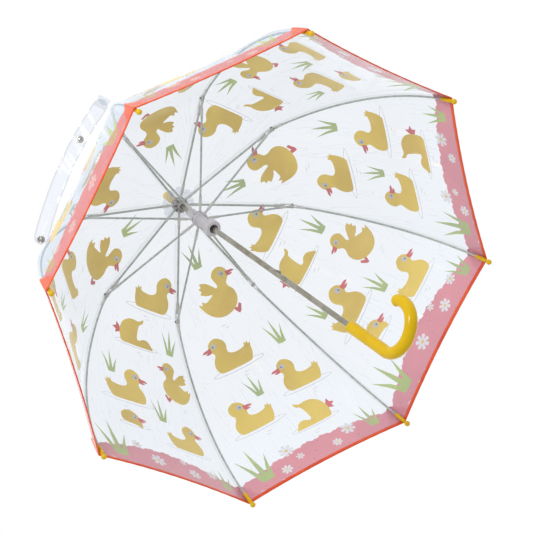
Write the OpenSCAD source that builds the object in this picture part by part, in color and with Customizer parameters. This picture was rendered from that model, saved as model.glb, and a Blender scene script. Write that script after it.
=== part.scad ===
// Dome umbrella for a child, open. Z runs up the shaft, z = 0 is the middle of the grip.
// The crook of the handle points along +X. Ribs and panels count anticlockwise seen from above.

/* [Canopy] */
// radius of the eight rim corners
rim_r = 345; // [340:1:350]
// drop from the crown pivots to the rim corners
rim_drop = 302; // [298:1:306]
// thickness of the film
film_t = 0.8; // [0.6:0.1:1]
// gap from a rib's centre line to the film over it
film_gap = 4.4; // [4.4:0.1:5]

/* [Frame] */
// height of the crown pivots above the middle of the grip
crown_z = 545; // [535:1:555]
// angle of the first rib from the crook
rib_start = -15; // [-22:1:-10]
// radius of the wire rings that the ribs and stretchers turn on
pivot_r = 9.5; // [9.5:0.1:9.8]
// radius of the joints between ribs, rods and stretchers
joint_r = 173; // [165:1:180]
// drop from the crown pivots to those joints
joint_drop = 32; // [28:1:36]
// outward bow of the outer rods
rod_bow = 30; // [26:1:34]
// diameter of the inner ribs
rib_d = 3.2; // [2.8:0.1:3.4]
// diameter of the outer rods and the stretchers
rod_d = 3; // [2.6:0.1:3.2]

/* [Shaft] */
// outside diameter of the shaft tube
shaft_d = 8; // [7.8:0.1:8.1]
// wall of the shaft tube
shaft_wall = 0.6; // [0.5:0.1:0.7]
// height of the lower catch's nose above the middle of the grip
low_catch_z = 245.5; // [244.5:0.5:248]

/* [Handle] */
// diameter of the handle
grip_d = 17; // [15:0.5:19]
// top of the grip above its middle
grip_top = 44; // [40:1:50]
// depth of the crook's bend centre below the middle of the grip
bend_z = 43.5; // [40:0.5:50]
// centre-line radius of the crook
crook_r = 34; // [30:1:40]
// turn of the crook
crook_turn = 202; // [180:1:205]

/* [Ends] */
// diameter of the cap on top
cap_d = 13; // [12:0.5:15]
// diameter of the clear disc under the cap
washer_d = 52; // [34:1:54]
// length of the cap's straight side
cap_len = 34; // [20:1:36]
// diameter of the balls at the rim corners
ball_d = 8; // [7:0.5:9]

/* [Hidden] */
$fn = 64;
count = 8;
step = 360 / count;
half = step / 2;
wire_d = 1.3;
seam_gap = 0.2;
blade_t = 2;
eye_r = 2.2;
eye_hole = 0.85;
pin_r = 0.7;
cheek_in = 2.2;
cheek_t = 0.7;
fork_in = 1.1;
fork_t = 0.9;
fork_reach = 8;
clip_back = 12;
sleeve_r = 2.2;
rib_len = norm([joint_r - pivot_r, joint_drop]);
rib_dip = atan2(joint_drop, joint_r - pivot_r);
runner_drop = 2 * joint_drop;
shaft_r = shaft_d / 2;
bore_gap = 0.05;
slide_gap = 0.3;
key_w = 3.4;
key_x = 6.4;
nose_x = 6;
nose_w = 2.4;
sleeve_top = 26;
tube_top = crown_z + cap_len + 2;
top_catch_z = crown_z - runner_drop - 17;
hub_r = 11.5;
joint_p = [joint_r, -joint_drop];
end_p = [rim_r - 3.5, 2 - rim_drop];
chord = norm(end_p - joint_p);
bow_r = (chord * chord / 4 + rod_bow * rod_bow) / (2 * rod_bow);
chord_u = (end_p - joint_p) / chord;
out_u = [-chord_u[1], chord_u[0]];
bow_c = (joint_p + end_p) / 2 - out_u * (bow_r - rod_bow);
joint_a = atan2(joint_p[1] - bow_c[1], joint_p[0] - bow_c[0]);
end_a = atan2(end_p[1] - bow_c[1], end_p[0] - bow_c[0]);
film_steps = 16;
film_r = bow_r + film_gap;
grip_r = grip_d / 2;
cap_dome_h = 4.5;
cap_dome_r = (cap_d * cap_d / 4 + cap_dome_h * cap_dome_h) / (2 * cap_dome_h);
strap_root = [159, -297.5, crown_z - 215];
strap_turn = -167;
strap_pitch = 12.6;
strap_len = 210;
strap_bow = 12;
strap_w = 20;
strap_t = 1;
strap_r = (strap_len * strap_len / 4 + strap_bow * strap_bow) / (2 * strap_bow);
strap_half = asin(strap_len / 2 / strap_r);

// polar point about the bow's centre, in a rib's own plane
function bow_at(a, r) = bow_c + r * [cos(a), sin(a)];

// a solid of the 2D outline (radius, height) turned into the XZ plane, t thick about y = 0
module slab(t) rotate([90, 0, 0]) linear_extrude(t, center = true) children();

// rod from x = from to x = to along X
module bar(from, to, d) translate([from, 0, 0]) rotate([0, 90, 0]) cylinder(h = to - from, d = d);

// moves a child from the crown's centre to rib i's plane
module on_rib(i) translate([0, 0, crown_z]) rotate([0, 0, rib_start + i * step]) children();

// a flat end that turns on a wire ring at the origin, running out along X
module ring_end() {
  difference() {
    slab(blade_t) union() {
      circle(r = eye_r);
      translate([0, -1.8]) square([10, 3.6]);
    }
    rotate([90, 0, 0]) cylinder(h = 4, r = eye_hole, center = true);
  }
  bar(9, 24, 2 * sleeve_r);
}

module rib(i) on_rib(i) translate([pivot_r, 0, 0]) rotate([0, rib_dip, 0]) {
  ring_end();
  bar(22, rib_len - clip_back - 4, rib_d);
  bar(rib_len - clip_back - 16, rib_len - clip_back, 2 * (cheek_in + cheek_t) - 0.6);
  for (s = [-1, 1]) translate([0, s * (cheek_in + cheek_t / 2), 0]) slab(cheek_t) union() {
    translate([rib_len, 0]) circle(r = 2.7);
    translate([rib_len - clip_back - 6, -1.7]) square([clip_back + 6, 3.4]);
  }
  translate([rib_len, 0, 0]) rotate([90, 0, 0]) cylinder(h = 6.4, r = pin_r, center = true);
  for (s = [-1, 1]) translate([rib_len, s * 3.1, 0]) rotate([90, 0, 0])
    cylinder(h = 0.6, r = 1.3, center = true);
}

module rod(i) on_rib(i) {
  translate([joint_p[0], 0, joint_p[1]]) rotate([0, 90 - joint_a, 0]) {
    for (s = [-1, 1]) translate([0, s * (fork_in + fork_t / 2), 0]) difference() {
      slab(fork_t) union() {
        circle(r = 2.6);
        translate([0, -1.5]) square([fork_reach + 1, 3]);
      }
      rotate([90, 0, 0]) cylinder(h = 4, r = pin_r + 0.1, center = true);
    }
    bar(fork_reach, fork_reach + 10, 2 * sleeve_r);
  }
  translate([bow_c[0], 0, bow_c[1]]) rotate([90, 0, 0]) rotate([0, 0, end_a])
    rotate_extrude(angle = joint_a - end_a - 1.4, $fn = 256) translate([bow_r, 0])
      circle(d = rod_d, $fn = 32);
}

// sleeve and ball at the rod's end; the sleeve is bored for the rod
module tip(i) on_rib(i) translate([end_p[0], 0, end_p[1]]) rotate([0, 90 - end_a, 0]) difference() {
  union() {
    bar(-15, -12, 4.8);
    bar(-12.5, 6, 5.6);
    bar(5, 11, 4);
    translate([12, 0, 0]) sphere(d = ball_d);
  }
  bar(-16, 0.3, rod_d + 0.7);
}

module stretcher(i) on_rib(i) translate([pivot_r, 0, -runner_drop]) rotate([0, -rib_dip, 0]) {
  ring_end();
  bar(22, rib_len - 16, rod_d);
  bar(rib_len - 26, rib_len - 13.5, 3.8);
  difference() {
    slab(1.8) union() {
      translate([rib_len, 0]) circle(r = 2.4);
      translate([rib_len - 15, -1.3]) square([15, 2.6]);
    }
    translate([rib_len, 0, 0]) rotate([90, 0, 0]) cylinder(h = 4, r = pin_r + 0.1, center = true);
  }
}

// an eighth of the canopy's plan, clear of the rib planes, from one rib to the next
module gore_plan(i) rotate([0, 0, rib_start + i * step + half]) polygon([
  [seam_gap / sin(half), 0],
  [seam_gap / sin(half) + 450 * cos(half), 450 * sin(half)],
  [seam_gap / sin(half) + 450 * cos(half), -450 * sin(half)]
]);

// a flat-sided film between two ribs, from its section (radius on the rib, height)
module gore(i, section) translate([0, 0, crown_z]) intersection() {
  translate([0, 0, -400]) linear_extrude(500) gore_plan(i);
  rotate([0, 0, rib_start + i * step + half]) slab(400)
    polygon([for (p = section) [p[0] * cos(half), p[1]]]);
}

// the film's section over an inner rib
lift = film_gap / cos(rib_dip);
function rib_film(r) = lift - (r - pivot_r) * tan(rib_dip);
inner_end = joint_r + 1.6;
inner_section = [
  [5.5, rib_film(5.5)],
  [inner_end, rib_film(inner_end)],
  [inner_end, rib_film(inner_end) + film_t],
  [5.5, rib_film(5.5) + film_t]
];

module panel_inner(i) gore(i, inner_section);

// the film's section over an outer rod, from the joint to the rim
joint_film_a = joint_a;
rim_film_a = end_a - 0.3;
film_angles = [for (k = [0 : film_steps]) joint_film_a + (rim_film_a - joint_film_a) * k / film_steps];
outer_section = concat(
  [for (a = film_angles) bow_at(a, film_r)],
  [for (k = [film_steps : -1 : 0]) bow_at(film_angles[k], film_r + film_t)]
);

module panel_outer(i) gore(i, outer_section);

module slotted(z) translate([shaft_r, 0, z]) cube([4, 3, 15.4], center = true);

module shaft_tube() color("#6b675c") difference() {
  translate([0, 0, -16]) cylinder(h = tube_top + 16, r = shaft_r);
  translate([0, 0, -17]) cylinder(h = tube_top + 18, r = shaft_r - shaft_wall);
  slotted(top_catch_z);
  slotted(low_catch_z);
}

module handle() color("#e3b21c") difference() {
  union() {
    translate([0, 0, -bend_z]) cylinder(h = bend_z + grip_top - 2, r = grip_r);
    translate([0, 0, grip_top - 2]) cylinder(h = 2, r1 = grip_r, r2 = grip_r - 1.6);
    translate([crook_r, 0, -bend_z]) rotate([90, 0, 0]) rotate([0, 0, 180])
      rotate_extrude(angle = crook_turn, $fn = 128) translate([crook_r, 0]) circle(r = grip_r);
    translate([crook_r - crook_r * cos(crook_turn), 0, -bend_z - crook_r * sin(crook_turn)])
      rotate([0, 180 - crook_turn, 0]) sphere(r = grip_r - bore_gap);
  }
  translate([0, 0, -18]) cylinder(h = grip_top + 20, r = shaft_r + bore_gap);
}

module ferrule() color("#d9b02c") translate([0, 0, crown_z + 7.6]) difference() {
  union() {
    cylinder(h = 2, r = cap_d / 2 + 1.5);
    translate([0, 0, 1]) cylinder(h = cap_len, r = cap_d / 2);
    intersection() {
      translate([0, 0, cap_len + 1 + cap_dome_h - cap_dome_r]) sphere(r = cap_dome_r);
      translate([0, 0, cap_len]) cylinder(h = 10, r = cap_d / 2);
    }
  }
  translate([0, 0, -1]) cylinder(h = cap_len - 3, r = shaft_r + bore_gap);
}

module top_washer() color("#dfe4ea") translate([0, 0, crown_z + 6.4]) difference() {
  cylinder(h = 1, r = washer_d / 2);
  translate([0, 0, -1]) cylinder(h = 3, r = shaft_r + bore_gap);
}

// groove for a wire ring, cut from outside
module ring_groove() rotate_extrude() {
  translate([pivot_r, 0]) circle(r = wire_d / 2 + 0.1, $fn = 32);
  translate([pivot_r, -wire_d / 2 - 0.1]) square([6, wire_d + 0.2]);
}

module wire_ring() rotate_extrude() translate([pivot_r, 0]) circle(r = wire_d / 2, $fn = 32);

module notches(from, to) for (i = [0 : count - 1]) rotate([0, 0, rib_start + i * step])
  translate([pivot_r - 2.7, -1.3, from]) cube([8, 2.6, to - from]);

module crown() color("#b9b9b6") translate([0, 0, crown_z]) difference() {
  union() {
    translate([0, 0, -5]) cylinder(h = 8.2, r = hub_r);
    translate([0, 0, -9]) cylinder(h = 6, r = 5.8);
  }
  translate([0, 0, -10]) cylinder(h = 20, r = shaft_r + bore_gap);
  ring_groove();
  notches(-6, 4);
}

module crown_wire() color("#8d8f8c") translate([0, 0, crown_z]) wire_ring();

module runner_wire() color("#8d8f8c") translate([0, 0, crown_z - runner_drop]) wire_ring();

module runner() color("#c4c1c9") translate([0, 0, crown_z - runner_drop]) difference() {
  rotate_extrude() polygon([
    [0, sleeve_top], [6.8, sleeve_top], [7.4, sleeve_top - 1], [7.4, 3.6], [11, 3.6],
    [hub_r, 3.1], [hub_r, -4.5], [10.6, -5.4],
    [9.4, -6], [8.6, -8], [8.5, -27], [9, -28.5], [10.8, -29.5], [11.8, -31], [12, -33],
    [12, -43], [11.6, -45], [10.6, -46], [0, -46]
  ]);
  translate([0, 0, -50]) cylinder(h = 90, r = shaft_r + slide_gap);
  translate([0, -key_w / 2, -50]) cube([key_x, key_w, 90]);
  translate([5, -2.2, -25]) cube([8, 4.4, 16]);
  translate([0, 0, -46.1]) cylinder(h = 8, r = 6.8);
  ring_groove();
  notches(-3.2, 10);
}

// leaf spring with a nose through the tube's slot; the square face is on top when way is 1
module catch_piece(way) scale([1, 1, way]) {
  translate([1.4, 0, 0]) cube([0.8, nose_w, 26], center = true);
  slab(nose_w) polygon([[1.4, -6.5], [4.2, -6.5], [nose_x, 2], [nose_x, 6.5], [1.4, 6.5]]);
}

module top_catch() color("#8f8f8d") translate([0, 0, top_catch_z]) catch_piece(1);

module bottom_catch() color("#8f8f8d") translate([0, 0, low_catch_z]) catch_piece(-1);

// frame at the strap's root: X along the strap, Y away from the canopy
module on_strap() translate(strap_root) rotate([0, 0, strap_turn]) rotate([0, strap_pitch, 0])
  translate([strap_len / 2, strap_bow - strap_r, 0]) children();

module strap() color("#dfe6ee") on_strap() rotate([0, 0, 90 - strap_half])
  rotate_extrude(angle = 2 * strap_half, $fn = 256) translate([strap_r, 0]) rotate(45)
    square([strap_w, strap_t], center = true);

// the two halves of the snap, one near the root and one at the free end
module press_studs() color("#9a9a98") on_strap() for (s = [62, 203])
  rotate([0, 0, 90 + strap_half * (1 - 2 * s / strap_len)]) translate([strap_r, 0, 0]) rotate([0, 135, 0]) {
    cylinder(h = 3, r = 5, center = true);
    cylinder(h = 4.6, r = 2.6, center = true);
  }

module rib_1() color("#aeb3af") rib(0);
module rib_2() color("#aeb3af") rib(1);
module rib_3() color("#aeb3af") rib(2);
module rib_4() color("#aeb3af") rib(3);
module rib_5() color("#aeb3af") rib(4);
module rib_6() color("#aeb3af") rib(5);
module rib_7() color("#aeb3af") rib(6);
module rib_8() color("#aeb3af") rib(7);

module rod_1() color("#a4aaa6") rod(0);
module rod_2() color("#a4aaa6") rod(1);
module rod_3() color("#a4aaa6") rod(2);
module rod_4() color("#a4aaa6") rod(3);
module rod_5() color("#a4aaa6") rod(4);
module rod_6() color("#a4aaa6") rod(5);
module rod_7() color("#a4aaa6") rod(6);
module rod_8() color("#a4aaa6") rod(7);

module tip_1() color("#dcb52e") tip(0);
module tip_2() color("#dcb52e") tip(1);
module tip_3() color("#dcb52e") tip(2);
module tip_4() color("#dcb52e") tip(3);
module tip_5() color("#dcb52e") tip(4);
module tip_6() color("#dcb52e") tip(5);
module tip_7() color("#dcb52e") tip(6);
module tip_8() color("#dcb52e") tip(7);

module stretcher_1() color("#a9aeaa") stretcher(0);
module stretcher_2() color("#a9aeaa") stretcher(1);
module stretcher_3() color("#a9aeaa") stretcher(2);
module stretcher_4() color("#a9aeaa") stretcher(3);
module stretcher_5() color("#a9aeaa") stretcher(4);
module stretcher_6() color("#a9aeaa") stretcher(5);
module stretcher_7() color("#a9aeaa") stretcher(6);
module stretcher_8() color("#a9aeaa") stretcher(7);

module panel_inner_1() color("#eef3fa") panel_inner(0);
module panel_inner_2() color("#eef3fa") panel_inner(1);
module panel_inner_3() color("#eef3fa") panel_inner(2);
module panel_inner_4() color("#eef3fa") panel_inner(3);
module panel_inner_5() color("#eef3fa") panel_inner(4);
module panel_inner_6() color("#eef3fa") panel_inner(5);
module panel_inner_7() color("#eef3fa") panel_inner(6);
module panel_inner_8() color("#eef3fa") panel_inner(7);

module panel_outer_1() color("#e6c8cc") panel_outer(0);
module panel_outer_2() color("#e6c8cc") panel_outer(1);
module panel_outer_3() color("#e6c8cc") panel_outer(2);
module panel_outer_4() color("#e6c8cc") panel_outer(3);
module panel_outer_5() color("#e6c8cc") panel_outer(4);
module panel_outer_6() color("#e6c8cc") panel_outer(5);
module panel_outer_7() color("#e6c8cc") panel_outer(6);
module panel_outer_8() color("#e6c8cc") panel_outer(7);

shaft_tube();
handle();
ferrule();
top_washer();
crown();
crown_wire();
top_catch();
bottom_catch();
runner();
runner_wire();
rib_1();
rib_2();
rib_3();
rib_4();
rib_5();
rib_6();
rib_7();
rib_8();
rod_1();
rod_2();
rod_3();
rod_4();
rod_5();
rod_6();
rod_7();
rod_8();
tip_1();
tip_2();
tip_3();
tip_4();
tip_5();
tip_6();
tip_7();
tip_8();
stretcher_1();
stretcher_2();
stretcher_3();
stretcher_4();
stretcher_5();
stretcher_6();
stretcher_7();
stretcher_8();
panel_inner_1();
panel_inner_2();
panel_inner_3();
panel_inner_4();
panel_inner_5();
panel_inner_6();
panel_inner_7();
panel_inner_8();
panel_outer_1();
panel_outer_2();
panel_outer_3();
panel_outer_4();
panel_outer_5();
panel_outer_6();
panel_outer_7();
panel_outer_8();
strap();
press_studs();
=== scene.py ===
"""Looks of a clear dome umbrella for a child, printed with ducks, grass and daisies."""

import math

import bpy
import numpy as np
from mathutils import Matrix, Vector
from mathutils.geometry import delaunay_2d_cdt


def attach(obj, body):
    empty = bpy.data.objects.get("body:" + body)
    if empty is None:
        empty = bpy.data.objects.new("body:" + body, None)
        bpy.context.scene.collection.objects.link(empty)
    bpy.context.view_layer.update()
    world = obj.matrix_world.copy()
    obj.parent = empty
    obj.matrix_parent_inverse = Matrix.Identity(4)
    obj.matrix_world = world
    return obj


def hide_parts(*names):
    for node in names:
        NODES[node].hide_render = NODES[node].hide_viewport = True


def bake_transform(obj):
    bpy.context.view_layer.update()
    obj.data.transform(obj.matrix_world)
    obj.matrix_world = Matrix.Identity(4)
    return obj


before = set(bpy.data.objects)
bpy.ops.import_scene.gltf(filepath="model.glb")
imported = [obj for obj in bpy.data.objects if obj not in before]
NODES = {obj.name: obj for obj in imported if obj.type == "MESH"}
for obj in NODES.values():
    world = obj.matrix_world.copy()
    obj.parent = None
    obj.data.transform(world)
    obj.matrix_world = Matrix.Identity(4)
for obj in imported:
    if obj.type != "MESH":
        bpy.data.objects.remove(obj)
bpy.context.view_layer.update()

# ---------------------------------------------------------------- sizes, in millimetres
MM = 0.001
COUNT = 8
START, STEP = math.radians(-15), math.radians(45)
CROWN_Z = 545.0
PIVOT_R = 9.5
JOINT_R, JOINT_DROP = 173.0, 32.0
END_R, END_DROP, ROD_BOW = 341.5, 300.0, 30.0
FILM_LIFT = 4.8
FILM_START_R = 6.0
INNER_BOW = 2.5
RIM_HOLLOW = 3.0
FILM_SAG = 4.0

# ---------------------------------------------------------------- camera, floor, light
CAM_AT = (0.6265, -1.8417, -2.4370)
CAM_TARGET = (0.0448, -0.1313, 0.0822)
CAM_ROLL = -54.5
CAM_LENS = 162.9
FLOOR_Z = -2.75
LIGHT_FROM = (0.414, -0.706, 0.575)
VIEW_WAY = (-0.188, 0.552, 0.813)
FLOOR_HALF = 400.0


def aim(obj, at, target, roll=0.0):
    """Puts obj at a point, looking at target, turned by roll degrees about that line."""
    forward = (Vector(target) - Vector(at)).normalized()
    right = forward.cross(Vector((0, 0, 1))).normalized()
    up = right.cross(forward)
    c, s = math.cos(math.radians(roll)), math.sin(math.radians(roll))
    x, y = right * c + up * s, up * c - right * s
    m = Matrix((x, y, -forward)).transposed().to_4x4()
    m.translation = Vector(at)
    obj.matrix_world = m


def add_camera():
    data = bpy.data.cameras.new("camera")
    data.lens = CAM_LENS
    data.sensor_width = 36
    data.clip_end = 50
    camera = bpy.data.objects.new("camera", data)
    bpy.context.scene.collection.objects.link(camera)
    aim(camera, CAM_AT, CAM_TARGET, CAM_ROLL)
    bpy.context.scene.camera = camera


def add_softbox(name, at, size, power, colour=(1, 1, 1)):
    data = bpy.data.lights.new(name, "AREA")
    data.shape = "RECTANGLE"
    data.size, data.size_y = size
    data.energy = power
    data.color = colour
    light = bpy.data.objects.new(name, data)
    bpy.context.scene.collection.objects.link(light)
    aim(light, at, (0.0, 0.0, 0.38))


def light_sky(tree):
    """A pale studio, darker away from LIGHT_FROM and plain white in the camera's line of view."""
    way = put(tree, "ShaderNodeTexCoord")
    dot = {"operation": "DOT_PRODUCT"}
    lit = put(tree, "ShaderNodeVectorMath", out=1, settings=dot, in0=way, in1=LIGHT_FROM)
    ahead = put(tree, "ShaderNodeVectorMath", out=1, settings=dot, in0=way, in1=VIEW_WAY)
    level = ramp(tree, lit, -0.85, 0.65, 0.80, 1.10)
    backdrop = ramp(tree, ahead, 0.35, 0.75)
    level = calc(tree, "MULTIPLY_ADD", backdrop, calc(tree, "SUBTRACT", 1.0, level), level)
    colour = put(tree, "ShaderNodeCombineColor", Red=level, Green=level, Blue=level)
    tree.links.new(colour, tree.nodes["Background"].inputs[0])


# ---------------------------------------------------------------- node trees
def new_tree(name):
    material = bpy.data.materials.new(name)
    material.use_nodes = True
    material.node_tree.nodes.clear()
    return material, material.node_tree


def put(tree, kind, out=0, settings=None, **values):
    """Adds a node, sets or links its inputs by name, and returns one of its outputs."""
    n = tree.nodes.new(kind)
    for key, value in (settings or {}).items():
        setattr(n, key, value)
    for key, value in values.items():
        name = key.replace("_", " ")
        socket = n.inputs[int(name[2:])] if name.startswith("in") and name[2:].isdigit() else n.inputs[name]
        if isinstance(value, bpy.types.NodeSocket):
            tree.links.new(value, socket)
        else:
            socket.default_value = value
    return n.outputs[out]


def calc(tree, op, a, b=0.0, c=0.0, clamp=False):
    return put(tree, "ShaderNodeMath", settings={"operation": op, "use_clamp": clamp}, in0=a, in1=b, in2=c)


def ramp(tree, value, low, high, to_low=0.0, to_high=1.0):
    return put(
        tree, "ShaderNodeMapRange", settings={"interpolation_type": "SMOOTHSTEP"},
        Value=value, From_Min=low, From_Max=high, To_Min=to_low, To_Max=to_high,
    )


def noise(tree, where, scale, detail=2.0, rough=0.5):
    return put(tree, "ShaderNodeTexNoise", Vector=where, Scale=scale, Detail=detail, Roughness=rough)


def stretch(tree, where, scale):
    return put(tree, "ShaderNodeMapping", Vector=where, Scale=scale)


def mix(tree, share, a, b):
    """Mixes two colours."""
    n = tree.nodes.new("ShaderNodeMix")
    n.data_type = "RGBA"
    for socket, value in ((n.inputs[0], share), (n.inputs[6], a), (n.inputs[7], b)):
        if isinstance(value, bpy.types.NodeSocket):
            tree.links.new(value, socket)
        else:
            socket.default_value = value
    return n.outputs[2]


def bump(tree, height, strength, distance):
    return put(tree, "ShaderNodeBump", Height=height, Strength=strength, Distance=distance)


def finish_material(tree, **values):
    shader = put(tree, "ShaderNodeBsdfPrincipled", **values)
    out = tree.nodes.new("ShaderNodeOutputMaterial")
    tree.links.new(shader, out.inputs[0])


def srgb(r, g, b, a=1.0):
    """A colour from display values of 0 to 255."""
    lin = [((v / 255 + 0.055) / 1.055) ** 2.4 if v > 10 else v / 255 / 12.92 for v in (r, g, b)]
    return (*lin, a)


def place_of(tree):
    return put(tree, "ShaderNodeTexCoord", out=3)


def film_place(tree):
    """Where a point lies on the flat cut panel, in metres, the same at every pose."""
    return put(tree, "ShaderNodeAttribute", out=1, settings={"attribute_name": "flat_place"})


# ---------------------------------------------------------------- materials
def film_material(name, colour, alpha, haze=0.0, seed=0.0, crumple=0.25):
    """Clear soft vinyl: see-through, faintly blue, with long creases, small puckers and a haze. The creases are
    painted whitish as a highlight, and the fold lines are painted greyer as shade.
    """
    material, t = new_tree(name)
    at = film_place(t)
    along = noise(t, stretch(t, at, (70.0 + seed, 6.0, 1.0)), 1.0, 3.0, 0.55)
    pucker = noise(t, stretch(t, at, (45.0, 110.0, 1.0)), 1.0, 2.0)
    broad = noise(t, at, 9.0 + seed, 2.0)
    # crease lines: denser and raised in the bump, and their whitening of the colour is a painted highlight
    crease_and_glint = ramp(t, along, 0.62, 0.74)
    # thin fold lines: the film is denser there, and its colour is greyed as painted shade
    fold_and_shade = ramp(t, calc(t, "ABSOLUTE", calc(t, "SUBTRACT", along, 0.5)), 0.0, 0.012, 1.0, 0.0)
    edge = put(t, "ShaderNodeLayerWeight", out=1, Blend=0.3)
    veil = calc(t, "MULTIPLY_ADD", crease_and_glint, 0.07, calc(t, "MULTIPLY_ADD", broad, 0.05, alpha - 0.025))
    veil = calc(t, "MULTIPLY_ADD", fold_and_shade, 0.08, veil)
    veil = calc(t, "MULTIPLY_ADD", edge, 0.16, calc(t, "ADD", veil, haze), clamp=True)
    rough = calc(t, "MULTIPLY_ADD", broad, 0.10, 0.06)
    relief = calc(t, "MULTIPLY_ADD", crease_and_glint, 0.35, calc(t, "MULTIPLY_ADD", pucker, 0.25, along))
    # painted highlight: the crease lines mix the film's colour towards white
    tint = mix(t, crease_and_glint, colour, (1, 1, 1, 1))
    # painted shade: the fold lines mix the colour towards grey
    finish_material(
        t, Base_Color=mix(t, calc(t, "MULTIPLY", fold_and_shade, 0.35), tint, srgb(176, 186, 198)), Roughness=rough,
        Alpha=veil, IOR=1.5, Normal=bump(t, relief, crumple, 0.002),
    )
    return material


def print_material(name, colour, shade, alpha=0.93, patch=14.0):
    """A colour printed on the film: uneven ink with a fine grain."""
    material, t = new_tree(name)
    at = film_place(t)
    cloud = noise(t, at, patch, 3.0, 0.6)
    grain = noise(t, at, 900.0, 2.0, 0.7)
    tint = mix(t, ramp(t, cloud, 0.35, 0.68), colour, shade)
    tint = mix(t, ramp(t, grain, 0.55, 0.80, 0.0, 0.22), tint, (1, 1, 1, 1))
    thin = calc(t, "MULTIPLY_ADD", cloud, 0.10, alpha - 0.05, clamp=True)
    along = noise(t, stretch(t, at, (90.0, 7.0, 1.0)), 1.0, 3.0, 0.55)
    finish_material(
        t, Base_Color=tint, Alpha=thin, IOR=1.45,
        Roughness=calc(t, "MULTIPLY_ADD", grain, 0.15, 0.22), Normal=bump(t, along, 0.15, 0.002),
    )
    return material


def vinyl_material(name, colour, shade, alpha=1.0):
    """Coloured vinyl tape of the binding and the corner patches."""
    material, t = new_tree(name)
    at = film_place(t)
    cloud = noise(t, at, 35.0, 3.0, 0.6)
    streaks = noise(t, stretch(t, at, (420.0, 24.0, 1.0)), 1.0, 3.0)
    ribs = noise(t, stretch(t, at, (500.0, 60.0, 1.0)), 1.0, 2.0)
    blotch = calc(t, "MULTIPLY_ADD", streaks, 0.6, calc(t, "MULTIPLY", cloud, 0.4))
    finish_material(
        t, Base_Color=mix(t, ramp(t, blotch, 0.38, 0.62), colour, shade),
        Alpha=calc(t, "MULTIPLY_ADD", cloud, 0.06, alpha - 0.04, clamp=True),
        Roughness=calc(t, "MULTIPLY_ADD", cloud, 0.2, 0.22), Coat_Weight=0.15, Coat_Roughness=0.12,
        Normal=bump(t, ribs, 0.3, 0.0006),
    )
    return material


def plastic_material(name, colour, shade, rough=0.3, coat=0.3, parting=None, pit=0.05, gloss=0.3):
    """Moulded plastic: slight mottling, an orange-peel surface and a parting line."""
    material, t = new_tree(name)
    at = place_of(t)
    cloud = noise(t, at, 40.0, 3.0)
    peel = noise(t, at, 700.0, 2.0)
    height = calc(t, "MULTIPLY", peel, 0.5)
    base = mix(t, ramp(t, cloud, 0.35, 0.7), colour, shade)
    if parting is not None:
        side = put(t, "ShaderNodeSeparateXYZ", out=parting, Vector=at)
        line = ramp(t, calc(t, "ABSOLUTE", side), 0.0001, 0.0004, 1.0, 0.0)
        height = calc(t, "MULTIPLY_ADD", line, 1.2, height)
        base = mix(t, calc(t, "MULTIPLY", line, 0.25), base, shade)
    finish_material(
        t, Base_Color=base, Roughness=calc(t, "MULTIPLY_ADD", cloud, 0.14, rough - 0.07),
        Coat_Weight=coat, Coat_Roughness=0.08, Specular_IOR_Level=gloss,
        Normal=bump(t, height, pit * 4, 0.0003),
    )
    return material


def metal_material(name, colour, shade, rough=0.28, stretch_by=(900.0, 900.0, 12.0), metallic=1.0):
    """Drawn metal with lengthwise lines, darker and rougher in patches."""
    material, t = new_tree(name)
    at = place_of(t)
    lines = noise(t, stretch(t, at, stretch_by), 1.0, 3.0, 0.6)
    wear = noise(t, at, 55.0, 4.0, 0.6)
    finish_material(
        t, Base_Color=mix(t, ramp(t, wear, 0.35, 0.72), colour, shade), Metallic=metallic,
        Roughness=calc(t, "MULTIPLY_ADD", lines, 0.16, calc(t, "MULTIPLY_ADD", wear, 0.1, rough - 0.12)),
        Normal=bump(t, lines, 0.25, 0.0002),
    )
    return material


def rod_material(name, kind):
    """Glass-fibre rod in moulded ends, with a dark rivet where the rib, rod and stretcher meet."""
    material, t = new_tree(name)
    at = place_of(t)
    flat = put(t, "ShaderNodeVectorMath", settings={"operation": "MULTIPLY"}, in0=at, in1=(1.0, 1.0, 0.0))
    radius = put(t, "ShaderNodeVectorMath", out=1, settings={"operation": "LENGTH"}, in0=flat)
    height = put(t, "ShaderNodeSeparateXYZ", out=2, Vector=at)
    if kind == "rod":
        end = ramp(t, radius, 0.1876, 0.1882, 1.0, 0.0)
    else:
        crown_end = ramp(t, radius, 0.0325, 0.0331, 1.0, 0.0)
        joint_from, joint_to = (0.1435, 0.1441) if kind == "rib" else (0.1470, 0.1476)
        joint_end = ramp(t, radius, joint_from, joint_to)
        end = calc(t, "MAXIMUM", crown_end, joint_end)
    dr = calc(t, "SUBTRACT", radius, JOINT_R * MM)
    dz = calc(t, "SUBTRACT", height, (CROWN_Z - JOINT_DROP) * MM)
    away = calc(t, "SQRT", calc(t, "ADD", calc(t, "MULTIPLY", dr, dr), calc(t, "MULTIPLY", dz, dz)))
    rivet = ramp(t, away, 0.00165, 0.00185, 1.0, 0.0)
    streaks = noise(t, stretch(t, at, (160.0, 160.0, 160.0)), 1.0, 3.0)
    speck = noise(t, at, 1500.0, 1.0)
    fibre = mix(t, ramp(t, streaks, 0.35, 0.7), srgb(180, 189, 185), srgb(158, 168, 163))
    moulded = mix(t, ramp(t, streaks, 0.3, 0.7), srgb(203, 205, 202), srgb(186, 189, 186))
    base = mix(t, rivet, mix(t, end, fibre, moulded), srgb(74, 50, 38))
    rough = calc(t, "MULTIPLY_ADD", speck, 0.12, calc(t, "MULTIPLY_ADD", end, 0.12, 0.22))
    finish_material(
        t, Base_Color=base, Metallic=calc(t, "MULTIPLY", rivet, 0.8), Roughness=rough,
        Coat_Weight=0.25, Coat_Roughness=0.1,
        Normal=bump(t, calc(t, "MULTIPLY_ADD", streaks, 0.4, speck), 0.12, 0.0002),
    )
    return material


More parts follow.
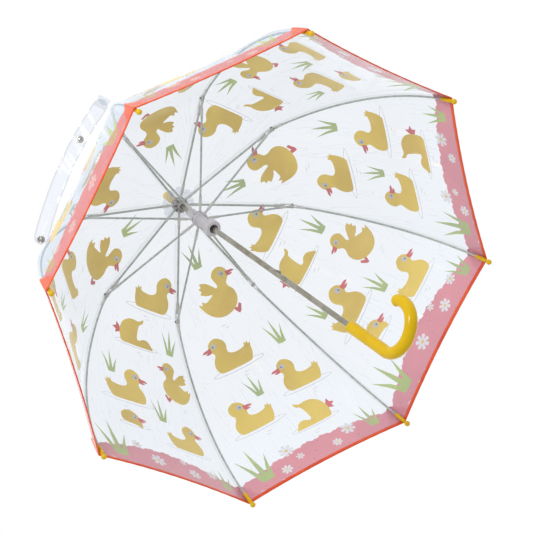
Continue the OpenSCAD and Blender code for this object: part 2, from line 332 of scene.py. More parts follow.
def disc_material():
    """Clear film gathered under the cap: radial pleats, painted lighter on their ridges as highlight and darker
    between them as shade.
    """
    material, t = new_tree("gathered_film")
    at = film_place(t)
    folds = noise(t, stretch(t, at, (14.0, 40.0, 1.0)), 1.0, 2.0)
    ridge = ramp(t, folds, 0.45, 0.62)
    # painted light and shade: the pleat ridges are coloured lighter and the folds between them darker
    finish_material(
        t, Base_Color=mix(t, ridge, srgb(196, 206, 218), srgb(232, 238, 244)),
        Alpha=calc(t, "MULTIPLY_ADD", ridge, 0.22, 0.26), Roughness=calc(t, "MULTIPLY_ADD", folds, 0.1, 0.1),
        IOR=1.5, Normal=bump(t, folds, 0.5, 0.002),
    )
    return material


def stage_material():
    material, t = new_tree("pale_floor")
    at = place_of(t)
    cloud = noise(t, at, 1.5, 3.0)
    finish_material(
        t, Base_Color=mix(t, cloud, (0.66, 0.66, 0.66, 1), (0.70, 0.70, 0.70, 1)),
        Roughness=calc(t, "MULTIPLY_ADD", cloud, 0.1, 0.75),
    )
    return material


# ---------------------------------------------------------------- the canopy's shape
def meridian():
    """The film's curve over one rib: (distance along it, radius, height from the crown pivots)."""
    joint, end = np.array([JOINT_R, -JOINT_DROP]), np.array([END_R, -END_DROP])
    chord = np.linalg.norm(end - joint)
    radius = (chord**2 / 4 + ROD_BOW**2) / (2 * ROD_BOW)
    along = (end - joint) / chord
    centre = (joint + end) / 2 - np.array([-along[1], along[0]]) * (radius - ROD_BOW)
    first = math.atan2(*(joint - centre)[::-1])
    last = math.atan2(*(end - centre)[::-1])
    pivot = np.array([PIVOT_R, 0.0])
    down = (joint - pivot) / np.linalg.norm(joint - pivot)
    up = np.array([-down[1], down[0]])
    back = (FILM_START_R - PIVOT_R) / down[0]
    inner = []
    for u in np.linspace(back, np.linalg.norm(joint - pivot), 90):
        share = (u - back) / (np.linalg.norm(joint - pivot) - back)
        inner.append(pivot + down * u + up * (FILM_LIFT + INNER_BOW * math.sin(math.pi * share)))
    outer = [
        centre + (radius + FILM_LIFT) * np.array([math.cos(a), math.sin(a)])
        for a in np.linspace(first, last - math.radians(0.35), 170)
    ]
    points = np.array(inner + outer)
    gone = np.concatenate([[0], np.cumsum(np.hypot(*np.diff(points, axis=0).T))])
    even = np.linspace(0, gone[-1], 500)
    points = np.column_stack([np.interp(even, gone, points[:, i]) for i in (0, 1)])
    near = np.exp(-((np.hypot(*(points - joint).T) / 26) ** 4))[1:-1, None]
    for _ in range(90):
        points[1:-1] += near * 0.5 * ((points[:-2] + points[2:]) / 2 - points[1:-1])
    gone = np.concatenate([[0], np.cumsum(np.hypot(*np.diff(points, axis=0).T))])
    return gone, points[:, 0], points[:, 1], gone[np.argmin(np.hypot(*(points - joint).T))]


PATH_S, PATH_R, PATH_H, JOINT_S = meridian()
FULL_S = PATH_S[-1]


def chord_at(s):
    """Width of a panel between two ribs."""
    return 2 * np.interp(s, PATH_S, PATH_R) * math.sin(STEP / 2)


def film_point(k, w, s, lift=0.0):
    """Point of panel k, w of the way from rib k to the next and s along the rib, in metres."""
    w, s = np.broadcast_arrays(np.asarray(w, float), np.asarray(s, float))
    r, h = np.interp(s, PATH_S, PATH_R), np.interp(s, PATH_S, PATH_H)
    ahead, behind = np.clip(s + 3, 0, FULL_S), np.clip(s - 3, 0, FULL_S)
    dr = np.interp(ahead, PATH_S, PATH_R) - np.interp(behind, PATH_S, PATH_R)
    dh = np.interp(ahead, PATH_S, PATH_H) - np.interp(behind, PATH_S, PATH_H)
    size = np.hypot(dr, dh)
    nr, nh = -dh / size, dr / size
    a, b = START + k * STEP, START + (k + 1) * STEP
    m = (a + b) / 2
    sag = FILM_SAG * np.clip(s / 160, 0, 1) ** 1.5 * 4 * w * (1 - w) - lift
    x = r * ((1 - w) * math.cos(a) + w * math.cos(b)) - sag * nr * math.cos(m)
    y = r * ((1 - w) * math.sin(a) + w * math.sin(b)) - sag * nr * math.sin(m)
    z = CROWN_Z + h - sag * nh
    return np.stack([x, y, z], -1) * MM


def film_normal(k, w, s):
    side = film_point(k, w + 0.002, s) - film_point(k, w - 0.002, s)
    down = film_point(k, w, np.clip(s + 1, 0, FULL_S)) - film_point(k, w, np.clip(s - 1, 0, FULL_S))
    n = np.cross(down, side)
    n /= np.linalg.norm(n, axis=-1)[..., None]
    return n


def rim_s(w):
    """The rim is a little hollow between two ribs."""
    return FULL_S - RIM_HOLLOW * (1 - (2 * w - 1) ** 2)


# ---------------------------------------------------------------- the print
def smooth_loop(points, steps=4):
    """Closed curve through the points."""
    p = np.array(points, float)
    out = []
    for i in range(len(p)):
        a, b, c, d = p[i - 1], p[i], p[(i + 1) % len(p)], p[(i + 2) % len(p)]
        for j in range(steps):
            t = j / steps
            square, cube = 2 * a - 5 * b + 4 * c - d, 3 * b - a - 3 * c + d
            out.append(0.5 * (2 * b + (c - a) * t + square * t * t + cube * t**3))
    return out


def round_loop(x, y, rx, ry=None, turn=0.0, count=14):
    ry = rx if ry is None else ry
    c, s = math.cos(turn), math.sin(turn)
    out = []
    for i in range(count):
        a = 2 * math.pi * i / count
        u, v = rx * math.cos(a), ry * math.sin(a)
        out.append((x + u * c - v * s, y + u * s + v * c))
    return out


def stroke(a, b, width=0.9):
    """A thin dash from a to b, pointed at both ends."""
    (ax, ay), (bx, by) = a, b
    length = math.hypot(bx - ax, by - ay)
    nx, ny = -(by - ay) / length * width / 2, (bx - ax) / length * width / 2
    mx, my = (ax + bx) / 2, (ay + by) / 2
    return [(ax, ay), (mx - nx, my - ny), (bx, by), (mx + nx, my + ny)]


# Duck outlines in millimetres: x across, y up from the water or the ground.
# They follow the photo's print too closely: this is an open failure.
BODY = [
    (-24, 0), (-29, 8), (-31.5, 16), (-32.5, 22), (-34.5, 27.5), (-31, 26.5), (-30.5, 31.5), (-27.5, 28.5),
    (-25, 31.5), (-23.5, 26), (-16, 23.5), (-8, 23), (-1.5, 24.5), (2.5, 28.5), (2, 34), (0, 40), (0.5, 47),
    (5, 53.5), (11.5, 57), (18.5, 56), (24.5, 51.5), (27, 45), (26, 38.5), (23, 33.5), (24.5, 28.5),
    (29.5, 21.5), (32, 13), (31, 5), (26.5, 0), (14, -1.2), (-6, -1.6), (-17, -1.2),
]
STANDING = [
    (6, 82), (15, 84.5), (23, 80.5), (27.5, 72), (25.5, 63), (20.5, 56), (21, 49), (27, 40), (28.5, 29),
    (24.5, 18), (15, 9), (1, 4.5), (-12, 6), (-22, 13), (-29, 24), (-33.5, 39), (-28.5, 36), (-27, 42),
    (-21.5, 38), (-13, 42), (-8, 46), (-16, 48), (-25, 54), (-22, 58), (-25, 63), (-21, 65), (-21, 71),
    (-12, 68), (-4, 60), (2, 53), (4.5, 58), (2, 65), (0.5, 74),
]
DIVING = [
    (-27, 0), (-30.5, 10), (-30.5, 22), (-26, 34), (-17, 41.5), (-7, 43.5), (1, 42.5), (6, 43.5),
    (11.5, 47.5), (12, 42.5), (9.5, 39), (5, 36), (2.5, 27), (1, 16), (1.5, 10.5), (6, 9.5),
    (11, 12.5), (17, 13.5),
    (23, 11), (27.5, 5), (30.5, -1), (22, -1.5), (4, -2), (-14, -1.5),
]
PEEKING = [
    (-15, 2), (-18, 11), (-15, 20), (-7, 25.5), (2, 26), (10, 22), (15, 14.5), (17, 5), (16, -5),
    (6, -1.5), (-6, 0),
]


def beak(x, y, to):
    """Two-part beak whose root is at (x, y), pointing to +x or -x."""
    upper = [
        (x, y + 4), (x + 5 * to, y + 3), (x + 10 * to, y + 2.4),
        (x + 14 * to, y - 0.5), (x + 9 * to, y - 1.6), (x, y - 1),
    ]
    lower = [(x, y - 0.5), (x + 6 * to, y - 2), (x + 10 * to, y - 3.8), (x + 5 * to, y - 5.5), (x, y - 4)]
    return [("coral", smooth_loop(lower, 3)), ("coral", smooth_loop(upper, 3))]


def eye(x, y, to):
    return [("eye", round_loop(x, y, 4.3, 4.6)), ("pupil", round_loop(x + 1.3 * to, y - 0.8, 1.35, count=10))]


def water(x, y, rx, ry=5.5):
    ring = round_loop(x, y, rx, ry, count=40)
    hole = round_loop(x, y, rx - 1.0, ry - 0.9, count=40)
    return [("water", ring), ("film", hole)]


def dashes(x, y):
    return [("water", stroke((x - 7, y), (x + 7, y))), ("water", stroke((x - 1, y - 5), (x + 9, y - 5)))]


def feathers(x, y, to=1):
    """Three short lines of plumage."""
    lines = []
    for i in range(3):
        start, end = (x + i * 4 * to, y - i * 1.6), (x + (i * 4 + 5) * to, y - 2.6 - i * 1.6)
        lines.append(("feather", stroke(start, end, 1.0)))
    return lines


def swimming():
    duck = [("duck", smooth_loop(BODY))] + feathers(-25, 20)
    return water(0, -1, 43) + duck + beak(25, 42, 1) + eye(18.5, 46, 1) + dashes(-6, -14)


def turning():
    duck = [("duck", smooth_loop(BODY))] + feathers(-22, 19)
    return water(0, -1, 43) + duck + beak(3.5, 42, -1) + eye(9.5, 46, -1) + dashes(-8, -14)


def standing():
    foot = [(13, 10), (16, 4), (19, -1), (23, 2), (28, 12), (25, 15.5), (20, 9), (17, 11)]
    leg = dashes(-14, -8) + [("coral", foot), ("duck", smooth_loop(STANDING))]
    return leg + feathers(-20, 27) + beak(25, 69, 1) + eye(17, 72, 1)


def diving():
    foot = [
        (-27, 9), (-31, 14), (-39, 11), (-38, 17), (-44, 21),
        (-37.5, 24), (-36.5, 31), (-31.5, 25), (-29, 17), (-25, 14),
    ]
    return water(0, 0, 40) + [("coral", foot), ("duck", smooth_loop(DIVING))] + dashes(4, -13)


def peeking():
    return water(3, -2, 27, 4.5) + [("duck", smooth_loop(PEEKING))] + beak(13, 12, 1) + eye(6, 15, 1)


def tuft(size=1.0, lean=1.0):
    """Three slim grass blades from one root."""
    root = ((-7, 0), (-8, 11), (0, 8), (8, 11), (7, 0), (0, -1))
    out = [("grass", [(p * size * lean, q * size) for p, q in root])]
    for x, wide, tip_x, tip_y in ((-5, 2.6, -17, 40), (0, 3.0, -2, 47), (5, 2.6, 13, 33)):
        bend = (x * 0.66 + tip_x * 0.34, tip_y * 0.5)
        waist = wide * 0.72
        blade = [
            (x - wide, 5), (bend[0] - waist, bend[1]), (tip_x, tip_y),
            (bend[0] + waist, bend[1]), (x + wide, 5),
        ]
        out.append(("grass", [(-p * size * lean, q * size) for p, q in blade]))
    return out


def daisy(radius, petals=7, turn=0.0):
    petal = [
        (0.15, 0.05), (0.5, 0.2), (0.85, 0.25), (1.04, 0.13), (0.98, 0.0),
        (1.04, -0.13), (0.85, -0.25), (0.5, -0.2), (0.15, -0.05),
    ]
    out = []
    for i in range(petals):
        a = turn + 2 * math.pi * i / petals
        c, d = math.cos(a), math.sin(a)
        out.append(("petal", [(radius * (p * c - q * d), radius * (p * d + q * c)) for p, q in petal]))
    out.append(("petal", round_loop(0, 0, radius * 0.34, count=12)))
    out.append(("heart", round_loop(0, 0, radius * 0.25, radius * 0.22, count=10)))
    return out


# Motifs: what, place across the panel, distance up from the rim, direction faced, size.
PRINT_A = [
    (standing, -8, 300, -1, 1.0), (swimming, 18, 223, 1, 1.0), (swimming, -55, 145, 1, 0.98),
    (turning, 45, 115, 1, 1.0), (diving, -27, 76, 1, 1.0),
    (tuft, 5, 396, 1, 0.95), (tuft, -60, 226, 1, 0.95), (tuft, 15, 163, 1, 0.85),
]
EDGE_A = [
    (tuft, 86, 22, 1, 1.5), (tuft, -97, 22, 1, 1.0), (daisy, 38, 54, 1, 11), (daisy, 26, 33, 1, 6),
    (daisy, 55, 22, 1, 8.5), (daisy, -59, 39, 1, 11), (daisy, -32, 24, 1, 7.5),
]
PRINT_B = [
    (swimming, -13, 334, -1, 1.0), (diving, 8, 265, -1, 0.98), (swimming, 35, 156, -1, 1.06),
    (standing, -62, 180, 1, 0.86), (peeking, 38, 108, -1, 1.0), (swimming, -56, 86, -1, 0.96),
    (tuft, -55, 268, 1, 0.95), (tuft, 57, 202, 1, 0.85), (tuft, -23, 134, 1, 0.95),
]
EDGE_B = [
    (tuft, 85, 22, 1, 1.6), (tuft, -104, 20, 1, 1.0), (daisy, 47, 60, 1, 8.5), (daisy, 18, 35, 1, 12),
    (daisy, -32, 51, 1, 6), (daisy, -45, 29, 1, 10), (daisy, -82, 43, 1, 8.5),
]
DOTS = [
    (70, 33), (8, 14), (-14, 42), (-70, 17), (92, 12),
    (34, 12), (-50, 9), (-112, 30), (112, 22), (-2, 27),
]


def band_top(x, wide):
    """Height of the coloured border's wavy upper edge."""
    u = min(1.0, abs(x) / 125)
    hill = 50 + wide - (15 + wide) * u**1.6
    return hill + 1.4 * math.sin(x * 0.23 + wide) + 0.9 * math.sin(x * 0.61) + 0.6 * math.sin(x * 1.37)


def gore_print(k):
    """All the print on panel k as (ink, outline in panel coordinates), in painting order."""
    odd = k % 2
    loops = []
    for row in PRINT_A if odd else PRINT_B:
        loops += placed(*row)
    wide = 0.0 if odd else 8.0
    xs = np.arange(-150.0, 150.1, 2.5)
    top = [(x, band_top(x, wide)) for x in xs]
    loops.append(("band", top + [(150.0, -12.0), (-150.0, -12.0)]))
    for x, d in DOTS:
        loops.append(("dot", round_loop(x + 5 * odd, d + 2 * odd, 1.1, count=8)))
    for x in (-88.0, -20.0, 44.0, 64.0, 100.0):
        loops.append(("petal", stroke((x, 5 + x * 0.02), (x + 9, 7.5 + x * 0.02), 1.6)))
    for row in EDGE_A if odd else EDGE_B:
        loops += placed(*row)
    return loops


def placed(kind, x, d, to, size):
    if kind is daisy:
        parts, size, to = daisy(size, 7 if size > 7 else 6, x * 0.7), 1.0, 1
    elif kind is tuft:
        parts, size = tuft(size, to), 1.0
        to = 1
    else:
        parts = kind()
    return [(ink, [(x + p * to * size, d + q * size) for p, q in loop]) for ink, loop in parts]


INKS = [
    "film", "seam", "water", "band", "dot", "grass", "duck",
    "feather", "coral", "eye", "pupil", "petal", "heart",
]
SEAM_WIDTH = 3.6
GRID = 6.5


def gore_triangles(k):
    """Cuts the flat panel along every printed outline: (points across and along, triangles, ink)."""
    above, below = np.arange(0, JOINT_S - 3, GRID), np.arange(JOINT_S + GRID, FULL_S - 3, GRID)
    rows = np.concatenate([above, [JOINT_S], below])
    left = [(-chord_at(s) / 2, s) for s in rows]
    rim = [((w - 0.5) * chord_at(rim_s(w)), rim_s(w)) for w in np.linspace(0, 1, 41)]
    right = [(chord_at(s) / 2, s) for s in rows[::-1]]
    outline = left + rim + right
    loops = [("film", outline)]
    for side in (-1, 1):
        out_edge = [(side * chord_at(s) / 2, s) for s in rows if s > 20]
        out_edge.append((side * chord_at(FULL_S) / 2, FULL_S))
        in_edge = [(x - side * SEAM_WIDTH, s) for x, s in out_edge]
        loops.append(("seam", out_edge + in_edge[::-1]))
    loops += [(ink, [(x, FULL_S - d) for x, d in loop]) for ink, loop in gore_print(k)]
    points, edges, faces = [], [], []
    for ink, loop in loops:
        area = sum(a[0] * b[1] - b[0] * a[1] for a, b in zip(loop, loop[1:] + loop[:1]))
        loop = loop if area > 0 else loop[::-1]
        faces.append(list(range(len(points), len(points) + len(loop))))
        points += [Vector((float(x), float(s))) for x, s in loop]
    start = len(points)
    half = float(chord_at(JOINT_S)) / 2
    cut = [(x, JOINT_S) for x in np.linspace(-half, half, 21)]
    points += [Vector((float(x), float(s))) for x, s in cut]
    edges += [(start + i, start + i + 1) for i in range(len(cut) - 1)]
    for s in rows[1:]:
        wide = float(chord_at(s)) / 2
        count = max(2, int(2 * wide / 7))
        across = np.linspace(-wide, wide, count + 1)[1:-1]
        kept_xs = [x for x in across if s < rim_s(x / wide / 2 + 0.5) - 2]
        points += [Vector((float(x), float(s))) for x in kept_xs]
    flat, _, tris, _, _, origins = delaunay_2d_cdt(points, edges, faces, 0, 1e-3, True)
    flat = np.array([tuple(v) for v in flat])
    kept, inks = [], []
    for tri, origin in zip(tris, origins):
        if 0 in origin and len(tri) == 3:
            kept.append(tri)
            inks.append(INKS.index(loops[max(origin)][0]))
    return flat, np.array(kept), np.array(inks)


def build_piece(name, points, faces, materials, inks=None, normals=None, places=None):
    mesh = bpy.data.meshes.new(name)
    mesh.from_pydata([tuple(p) for p in points], [], [tuple(int(i) for i in f) for f in faces])
    for m in materials:
        mesh.materials.append(m)
    if inks is not None:
        mesh.polygons.foreach_set("material_index", np.asarray(inks, np.int32))
    mesh.polygons.foreach_set("use_smooth", np.full(len(mesh.polygons), True))
    if places is not None:
        attribute = mesh.attributes.new("flat_place", "FLOAT_VECTOR", "POINT")
        attribute.data.foreach_set("vector", np.asarray(places, np.float32).ravel())
    mesh.update()
    if normals is not None:
        mesh.normals_split_custom_set_from_vertices([tuple(n) for n in normals])
    obj = bpy.data.objects.new(name, mesh)
    bpy.context.scene.collection.objects.link(obj)
    return obj


def follow_ribs(obj):
    """Bakes obj's placement into its mesh."""
    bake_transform(obj)


def build_canopy(inks):
    for k in range(COUNT):
        flat, tris, ink = gore_triangles(k)
        middle = flat[tris][:, :, 1].mean(1)
        for part, chosen in (("inner", middle < JOINT_S), ("outer", middle > JOINT_S)):
            used, faces = np.unique(tris[chosen], return_inverse=True)
            faces = faces.reshape(-1, 3)[:, ::-1]
            xs, ss = flat[used, 0], flat[used, 1]
            w = np.clip(xs / chord_at(ss) + 0.5, 0, 1)
            used_inks = sorted(set(ink[chosen]))
            places = np.column_stack([xs * MM, ss * MM, np.full(len(xs), k * 0.37)])
            obj = build_piece(
                f"film_{part}_{k + 1}", film_point(k, w, ss), faces, [inks[INKS[i]] for i in used_inks],
                [used_inks.index(i) for i in ink[chosen]], film_normal(k, w, ss), places,
            )
            follow_ribs(obj)
            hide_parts(f"panel_{part}_{k + 1}")


def build_bindings(material):
    """Vinyl tape folded round the rim of each panel."""
    section = [
        (4.6, 0.6), (2.6, 0.95), (0.6, 1.05), (-0.6, 0.6), (-1.0, 0.0),
        (-0.6, -0.6), (0.6, -1.05), (2.6, -0.95), (4.6, -0.6),
    ]
    ws = np.linspace(0, 1, 61)
    for k in range(COUNT):
        edge, inward = film_point(k, ws, rim_s(ws)), film_point(k, ws, rim_s(ws) - 4.0)
        up = film_normal(k, ws, rim_s(ws))
        pull = inward - edge
        pull /= np.linalg.norm(pull, axis=1)[:, None]
        points, weights, places = [], [], []
        for j, (along, out) in enumerate(section):
            wave = 0.12 * np.sin(ws * 90 + j)
            points.append(edge + pull * along * MM + up * ((out + wave) * MM)[:, None])
            weights.append(ws)
            across, seed = np.full(len(ws), j * 0.001), np.full(len(ws), k * 0.3)
            places.append(np.column_stack([across, ws * 0.264, seed]))
        points, weights, places = np.concatenate(points), np.concatenate(weights), np.concatenate(places)
        n = len(ws)
        faces = [
            (j * n + i, j * n + i + 1, (j + 1) * n + i + 1, (j + 1) * n + i)
            for j in range(len(section) - 1) for i in range(n - 1)
        ]
        obj = build_piece(f"rim_binding_{k + 1}", points, faces, [material], places=places)
        follow_ribs(obj)


def build_borders(material):
    """The strip of coloured vinyl welded outside each panel's lower edge."""
    ws, rows = np.linspace(0.004, 0.996, 81), 10
    for k in range(COUNT):
        wide = 0.0 if k % 2 else 8.0
        xs = (ws - 0.5) * chord_at(FULL_S)
        top = np.array([band_top(x, wide) for x in xs]) - 1.0
        points, weights, places = [], [], []
        for i in range(rows + 1):
            s = rim_s(ws) - 0.6 - (top + (rim_s(ws) - FULL_S) - 0.6) * i / rows
            points.append(film_point(k, ws, s, 0.35))
            weights.append(ws)
            across, seed = (ws - 0.5) * chord_at(s) * MM, np.full(len(ws), k * 0.37 + 0.1)
            places.append(np.column_stack([across, s * MM, seed]))
        points, weights, places = np.concatenate(points), np.concatenate(weights), np.concatenate(places)
        n = len(ws)
        faces = [
            (i * n + j, (i + 1) * n + j, (i + 1) * n + j + 1, i * n + j + 1)
            for i in range(rows) for j in range(n - 1)
        ]
        obj = build_piece(f"border_strip_{k + 1}", points, faces, [material], places=places)
        follow_ribs(obj)


def build_corners(material):
    """A folded triangle of vinyl over each rod's end: a leaf welded to the panel on either side."""
    rows, half = 16, 8
    for k in range(COUNT):
        for leaf, turn in (("left", -1), ("right", 1)):
            panel = k if turn > 0 else (k - 1) % COUNT
            points, weights, places = [], [], []
            for i in range(rows + 1):
                d = 1.0 + 40.0 * i / rows
                reach = 21.0 * (1 - i / rows) ** 0.8 + 1.2
                for j in range(half + 1):
                    x = reach * j / half
                    s = FULL_S - d - 0.6 * x / 21
                    part = x / chord_at(s)
                    w = part if turn > 0 else 1 - part
                    ridge = 0.55 + 0.9 * math.exp(-(x / 2.0) ** 2)
                    point = film_point(panel, w, s, ridge)
                    if j == 0:
                        other = (k - 1) % COUNT if turn > 0 else k
                        point = (point + film_point(other, 1 - w, s, ridge)) / 2
                    points.append(point)
                    weights.append(w)
                    places.append((turn * x * MM, d * MM, k * 0.3))
            n = half + 1
            faces = [
                (i * n + j, i * n + j + 1, (i + 1) * n + j + 1, (i + 1) * n + j)
                for i in range(rows) for j in range(half)
            ]
            faces = faces if turn > 0 else [f[::-1] for f in faces]
            name = f"corner_patch_{k + 1}_{leaf}"
            obj = build_piece(name, points, faces, [material], places=places)
            follow_ribs(obj)


# ---------------------------------------------------------------- crown, strap, studs
def build_rosette(material):
    """Clear film gathered and folded out under the cap in sixteen pleats."""
    rings, spokes = 12, 192
    points, places, faces = [], [], []
    for i in range(rings + 1):
        u = i / rings
        for j in range(spokes):
            a = 2 * math.pi * j / spokes
            lobe = abs(math.cos(a * COUNT / 2 - START * COUNT / 2))
            radius = 7.0 + u * (15.5 + 4.2 * lobe**0.6)
            height = 552.2 + 0.9 * u * math.cos(16 * a) - 1.8 * u * u + 0.3 * math.sin(31 * a) * u
            points.append((radius * math.cos(a) * MM, radius * math.sin(a) * MM, height * MM))
            places.append((a, radius * MM, 0.0))
            if i:
                here, before, ahead = i * spokes, (i - 1) * spokes, (j + 1) % spokes
                faces.append((before + j, before + ahead, here + ahead, here + j))
    obj = build_piece("crown_rosette", points, faces, [material], places=places)
    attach(obj, "root")
    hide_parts("top_washer")


STRAP_ROOT = Vector((159.0, -297.5, 330.0))
STRAP_LENGTH, STRAP_BOW, STRAP_WIDTH = 210.0, 12.0, 20.0


def strap_frame(along, across=0.0, out=0.0):
    """Point on the strap: along it from the sewn end, across its width, and out from its face."""
    radius = (STRAP_LENGTH**2 / 4 + STRAP_BOW**2) / (2 * STRAP_BOW)
    half = math.asin(STRAP_LENGTH / 2 / radius)
    a = math.pi / 2 + half * (1 - 2 * along / STRAP_LENGTH)
    ray = Vector((math.cos(a), math.sin(a), 0))
    width = (ray + Vector((0, 0, 1))).normalized()
    face = (ray - Vector((0, 0, 1))).normalized()
    local = Vector((STRAP_LENGTH / 2, STRAP_BOW - radius, 0)) + ray * radius + width * across + face * out
    turn = Matrix.Rotation(math.radians(-167), 3, "Z") @ Matrix.Rotation(math.radians(12.6), 3, "Y")
    return (STRAP_ROOT + turn @ local) * MM, turn @ face, turn @ width


def build_strap(film, hem):
    count, half = 84, 10
    points, places, faces, inks = [], [], [], []
    for i in range(count + 1):
        u = i / count
        along = STRAP_LENGTH * u
        left = max(0.0, along - (STRAP_LENGTH - 10), 10 - along)
        wide = STRAP_WIDTH / 2 * (math.sqrt(max(0.0, 1 - (left / 10.3) ** 2)) if left else 1.0)
        for j in range(-half, half + 1):
            v = j / half
            ripple = 0.5 * math.sin(along * 0.11) * v + 0.35 * math.sin(along * 0.31 + 2 * v)
            lip = 0.25 if abs(v) > 0.75 else 0.0
            p, _, _ = strap_frame(along, wide * v, ripple + lip)
            points.append(tuple(p))
            places.append((wide * v * MM, along * MM, 0.7))
    n = 2 * half + 1
    for i in range(count):
        for j in range(n - 1):
            faces.append((i * n + j, i * n + j + 1, (i + 1) * n + j + 1, (i + 1) * n + j))
            inks.append(1 if j in (0, 1, n - 3, n - 2) or i < 5 or i > count - 4 else 0)
    obj = build_piece("closing_strap", points, faces, [film, hem], inks, places=places)
    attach(obj, "strap")
    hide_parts("strap")


def build_tab(film):
    """The short tab welded to the canopy that the closing strap hangs from."""
    root, _, width = strap_frame(0.0)
    along = (strap_frame(2.0)[0] - root).normalized()
    start = Vector(film_point(6, 0.992, 412.0, 0.6))
    out = Vector(film_normal(6, 0.992, 412.0))
    up = Vector(film_point(6, 0.992, 400.0) - film_point(6, 0.992, 424.0)).normalized()
    pull = (
        start, start + out * 0.013 + along * 0.002,
        root - along * 0.012 + out * 0.003, root + along * 0.007,
    )
    count, half = 24, 8
    points, places, faces = [], [], []
    for i in range(count + 1):
        t = i / count
        shares = ((1 - t) ** 3, 3 * t * (1 - t) ** 2, 3 * t * t * (1 - t), t**3)
        middle = sum((p * share for p, share in zip(pull, shares)), Vector())
        turn = t * t * (3 - 2 * t)
        side = (up * (1 - turn) + width * turn).normalized()
        wide = (9.6 if t < 0.8 else 9.6 * math.sqrt(1 - ((t - 0.8) / 0.205) ** 2)) * MM
        for j in range(-half, half + 1):
            points.append(tuple(middle + side * wide * j / half))
            places.append((j / half * 0.0096, t * 0.030, 0.2))
    n = 2 * half + 1
    for i in range(count):
        for j in range(n - 1):
            faces.append((i * n + j, i * n + j + 1, (i + 1) * n + j + 1, (i + 1) * n + j))
    obj = build_piece("strap_tab", points, faces, [film], places=places)
    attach(obj, "panel_outer_7")


def lathe(section, count=40):
    """Closed ring of faces round Z through a section of (radius, height), in millimetres."""
    points, faces = [], []
    for r, z in section:
        for j in range(count):
            a = 2 * math.pi * j / count
            points.append((r * math.cos(a) * MM, r * math.sin(a) * MM, z * MM))
    rows = len(section)
    for i in range(rows - 1):
        for j in range(count):
            k = (j + 1) % count
            faces.append((i * count + j, i * count + k, (i + 1) * count + k, (i + 1) * count + j))
    faces.append(tuple(reversed(range(count))))
    faces.append(tuple(range((rows - 1) * count, rows * count)))
    return points, faces


def build_studs(metal):
    """The two halves of the strap's press stud: a cap and a socket, each with a rolled rim."""
    cap = [
        (0.6, -2.2), (2.6, -2.2), (2.8, -1.5), (4.4, -1.4), (5.0, -1.0), (5.0, -0.3),
        (4.8, 0.5), (4.3, 1.1), (3.9, 0.9), (3.3, 1.3), (2.0, 1.9), (0.6, 2.2),
    ]
    socket = [
        (0.6, -2.2), (2.4, -2.2), (2.7, -1.4), (4.6, -1.3), (5.0, -0.8), (5.0, 0.6), (4.6, 1.3),
        (4.0, 1.5), (3.4, 1.2), (3.1, 0.6), (2.6, 0.5), (2.4, 1.8), (1.7, 2.2), (0.6, 2.0),
    ]
    for name, section, along in (("press_stud_cap", cap, 62.0), ("press_stud_socket", socket, 203.0)):
        points, faces = lathe(section)
        obj = build_piece(name, points, faces, [metal])
        at, face, _ = strap_frame(along)
        m = face.to_track_quat("Z", "Y").to_matrix().to_4x4()
        m.translation = at
        obj.data.transform(m)
        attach(obj, "strap")
    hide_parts("press_studs")


# ---------------------------------------------------------------- assembling the scene
def paint(nodes, material):
    for name in nodes:
        obj = NODES[name]
        if not obj.material_slots:
            obj.data.materials.append(material)
        for slot in obj.material_slots:
            slot.material = material


add_camera()
world = bpy.data.worlds.new("studio")
world.use_nodes = True
light_sky(world.node_tree)
bpy.context.scene.world = world
bpy.context.scene.view_settings.view_transform = "Standard"
add_softbox("key", (0.76, -1.64, -0.20), (0.40, 0.40), 12)
add_softbox("top", (-0.9, 1.4, 2.6), (2.0, 2.0), 10)

floor_mesh = bpy.data.meshes.new("studio_floor")
floor_corners = [(x * FLOOR_HALF, y * FLOOR_HALF, FLOOR_Z) for x, y in ((-1, -1), (1, -1), (1, 1), (-1, 1))]
floor_mesh.from_pydata(floor_corners, [], [(0, 1, 2, 3)])
floor_mesh.materials.append(stage_material())
studio_floor = bpy.data.objects.new("studio_floor", floor_mesh)
bpy.context.scene.collection.objects.link(studio_floor)

clear = film_material("clear_vinyl", srgb(170, 205, 242), 0.18, crumple=0.12)
INK_MATERIALS = {
    "film": clear,
    "seam": film_material("welded_seam", srgb(166, 190, 216), 0.22, 0.05, 3.0, crumple=0.14),
    "water": print_material("water_line", srgb(176, 184, 196), srgb(190, 196, 206), 0.85),
    "band": print_material("border_ink", srgb(221, 146, 160), srgb(211, 144, 160), 0.92, 9.0),
    "dot": print_material("dot_ink", srgb(150, 120, 130), srgb(165, 140, 150), 0.8),
    "grass": print_material("grass_ink", srgb(176, 198, 118), srgb(166, 188, 132), 0.90),
    "duck": print_material("duck_ink", srgb(232, 205, 100), srgb(219, 191, 106), 0.96, 11.0),
    "feather": print_material("feather_ink", srgb(238, 220, 142), srgb(230, 210, 132), 0.9),
    "coral": print_material("coral_ink", srgb(216, 104, 108), srgb(208, 118, 124), 0.95),
    "eye": print_material("eye_ink", srgb(196, 199, 205), srgb(188, 193, 200), 0.95),
    "pupil": print_material("pupil_ink", srgb(76, 94, 118), srgb(90, 106, 128), 0.95),
    "petal": print_material("petal_ink", srgb(228, 230, 238), srgb(218, 222, 232), 0.93),
    "heart": print_material("daisy_ink", srgb(224, 204, 130), srgb(214, 194, 120), 0.95),
}
binding = vinyl_material("binding_vinyl", srgb(234, 86, 22), srgb(212, 62, 12), 1.0)
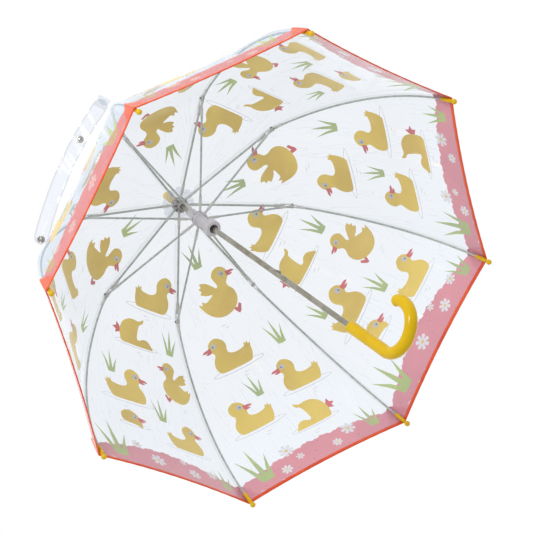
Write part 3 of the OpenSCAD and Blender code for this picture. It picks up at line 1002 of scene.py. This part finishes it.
patch = vinyl_material("patch_vinyl", srgb(236, 94, 32), srgb(220, 68, 18), 0.97)

build_canopy(INK_MATERIALS)
build_bindings(binding)
build_borders(vinyl_material("border_vinyl", srgb(240, 124, 84), srgb(230, 94, 52), 0.32))
build_corners(patch)
build_rosette(disc_material())
strap_film = film_material("strap_vinyl", srgb(190, 206, 232), 0.28, crumple=0.02)
strap_hem = film_material("strap_weld", srgb(160, 172, 188), 0.42, crumple=0.04)
build_strap(strap_film, strap_hem)
build_tab(film_material("tab_vinyl", srgb(170, 184, 204), 0.36, crumple=0.04))
stud_metal = metal_material("stud_nickel", srgb(176, 176, 172), srgb(150, 150, 148), 0.3, (300.0, 300.0, 300.0))
build_studs(stud_metal)

yellow = plastic_material(
    "yellow_plastic", srgb(214, 176, 0), srgb(208, 170, 0), 0.15, 0.0, parting=1, pit=0.01, gloss=0.22,
)
paint(["handle"], yellow)
paint(["ferrule"], plastic_material("cap_plastic", srgb(226, 190, 50), srgb(214, 176, 34), 0.3, 0.4))
tip_plastic = plastic_material("tip_plastic", srgb(222, 180, 4), srgb(214, 170, 0), 0.28, 0.0)
paint([f"tip_{i + 1}" for i in range(COUNT)], tip_plastic)
paint(["shaft_tube"], metal_material("dark_nickel", srgb(176, 173, 163), srgb(146, 143, 132), 0.22))
paint(["crown"], plastic_material("crown_plastic", srgb(178, 178, 176), srgb(160, 160, 160), 0.35, 0.2))
runner_plastic = plastic_material(
    "runner_plastic", srgb(204, 202, 208), srgb(186, 184, 192), 0.32, 0.3, parting=0,
)
paint(["runner"], runner_plastic)
wire = metal_material("wire_steel", srgb(168, 168, 164), srgb(140, 140, 138), 0.3, (200.0, 200.0, 200.0))
paint(["crown_wire", "runner_wire"], wire)
spring_steel = metal_material("spring_steel", srgb(150, 148, 144), srgb(120, 118, 114), 0.3)
paint(["top_catch", "bottom_catch"], spring_steel)
for kind in ("rib", "rod", "stretcher"):
    paint([f"{kind}_{i + 1}" for i in range(COUNT)], rod_material(f"{kind}_fibre", kind))
